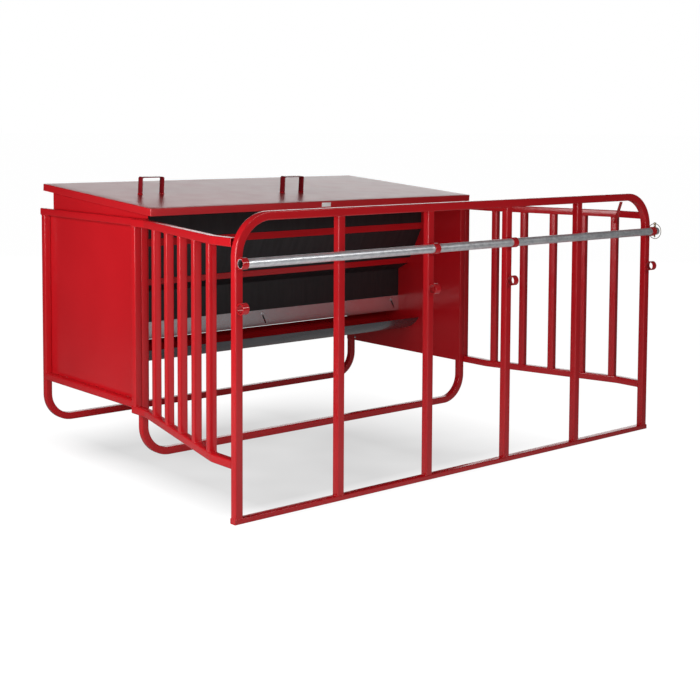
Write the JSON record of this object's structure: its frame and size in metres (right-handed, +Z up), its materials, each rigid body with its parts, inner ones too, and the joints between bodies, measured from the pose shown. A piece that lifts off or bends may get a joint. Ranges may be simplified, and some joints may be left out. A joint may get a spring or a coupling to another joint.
{
  "type": "livestock creep feeder with creep pen",
  "caption": "Covered hopper on tube skids that feeds a round-bottomed trough, with a fixed creep pen whose front bar can lie at two heights.",
  "frame": {"origin": "middle of the footprint's bounding box, on the ground", "axes": "+X along the front gate towards the end with the lock pin, +Y from the gate back to the hopper, +Z up"},
  "size_m": [2.95, 2.4402, 1.4648],
  "materials": {
    "red_paint": "glossy red powder coat",
    "black_sheet": "matt black coating",
    "galvanised": "galvanised, semi-bright",
    "dark_gloss_steel": "smooth dark gloss",
    "yellow_passivated_steel": "yellow-passivated zinc",
    "white_plate": "plain white, blank"
  },
  "bodies": {
    "feeder": {"front_gate_sill": "red_paint", "front_gate_hoop": "red_paint", "front_upright_1": "red_paint", "front_upright_2": "red_paint", "front_upright_3": "red_paint", "front_upright_4": "red_paint", "upper_ring_1": "red_paint", "upper_ring_2": "red_paint", "upper_ring_3": "red_paint", "upper_ring_4": "red_paint", "lower_ring_1": "red_paint", "lower_ring_2": "red_paint", "lower_ring_3": "red_paint", "lower_ring_4": "red_paint", "left_gate_bottom_rail": "red_paint", "left_gate_top_rail": "red_paint", "left_gate_stile": "red_paint", "left_gate_bar_1": "red_paint", "left_gate_bar_2": "red_paint", "left_gate_bar_3": "red_paint", "left_gate_bar_4": "red_paint", "left_gate_bar_5": "red_paint", "right_gate_bottom_rail": "red_paint", "right_gate_top_rail": "red_paint", "right_gate_stile": "red_paint", "right_gate_bar_1": "red_paint", "right_gate_bar_2": "red_paint", "right_gate_bar_3": "red_paint", "right_gate_bar_4": "red_paint", "right_gate_bar_5": "red_paint", "gate_corner_brace": "red_paint", "front_skid_leg": "red_paint", "rear_skid_leg": "red_paint", "left_end_top_rail": "red_paint", "left_end_bottom_rail": "red_paint", "left_end_panel": "red_paint", "right_end_top_rail": "red_paint", "right_end_bottom_rail": "red_paint", "right_end_panel": "red_paint", "hopper_back_sheet": "red_paint", "upper_front_strip": "red_paint", "lower_front_strip": "red_paint", "lid_hinge_bracket_1": "red_paint", "lid_hinge_bracket_2": "red_paint", "hopper_front_sheet": "black_sheet", "feed_trough": "dark_gloss_steel", "slide_bolt_1": "galvanised", "slide_bolt_2": "galvanised", "slide_bolt_3": "galvanised", "lid_hinge_rod": "galvanised"},
    "lid": {"lid": "red_paint", "left_lid_handle": "red_paint", "middle_lid_handle": "red_paint", "lid_hinge_eye_1": "red_paint", "lid_hinge_eye_2": "red_paint", "lid_plate": "white_plate"},
    "feed_slide": {"feed_slide": "galvanised"},
    "adjustable_bar": {"adjustable_bar": "galvanised"},
    "lock_pin": {"lock_pin": "yellow_passivated_steel"},
    "lock_ring": {"lock_pin_ring": "yellow_passivated_steel"}
  },
  "joints": [
    {"name": "lid_hinge", "type": "hinge", "parent": "feeder", "child": "lid", "pos_m": [-0.013, 1.18625, 1.36022], "axis": [-1, 0, 0], "range_deg": [0, 95]},
    {"name": "slide_adjust", "type": "slide", "parent": "feeder", "child": "feed_slide", "axis": [-0.4131, 0, 0.9107], "range_m": [0, 0.0585]},
    {"name": "bar_draw", "type": "slide", "parent": "feeder", "child": "adjustable_bar", "axis": [1, 0, 0], "range_m": [0, 1.68]},
    {"name": "lock_pin_lift", "type": "slide", "parent": "adjustable_bar", "child": "lock_pin", "axis": [0, 0, 1], "range_m": [0, 0.018]},
    {"name": "lock_ring_swing", "type": "hinge", "parent": "lock_pin", "child": "lock_ring", "pos_m": [1.457, -1.17515, 1.202], "axis": [0, -1, 0], "range_deg": [0, 150]}
  ]
}
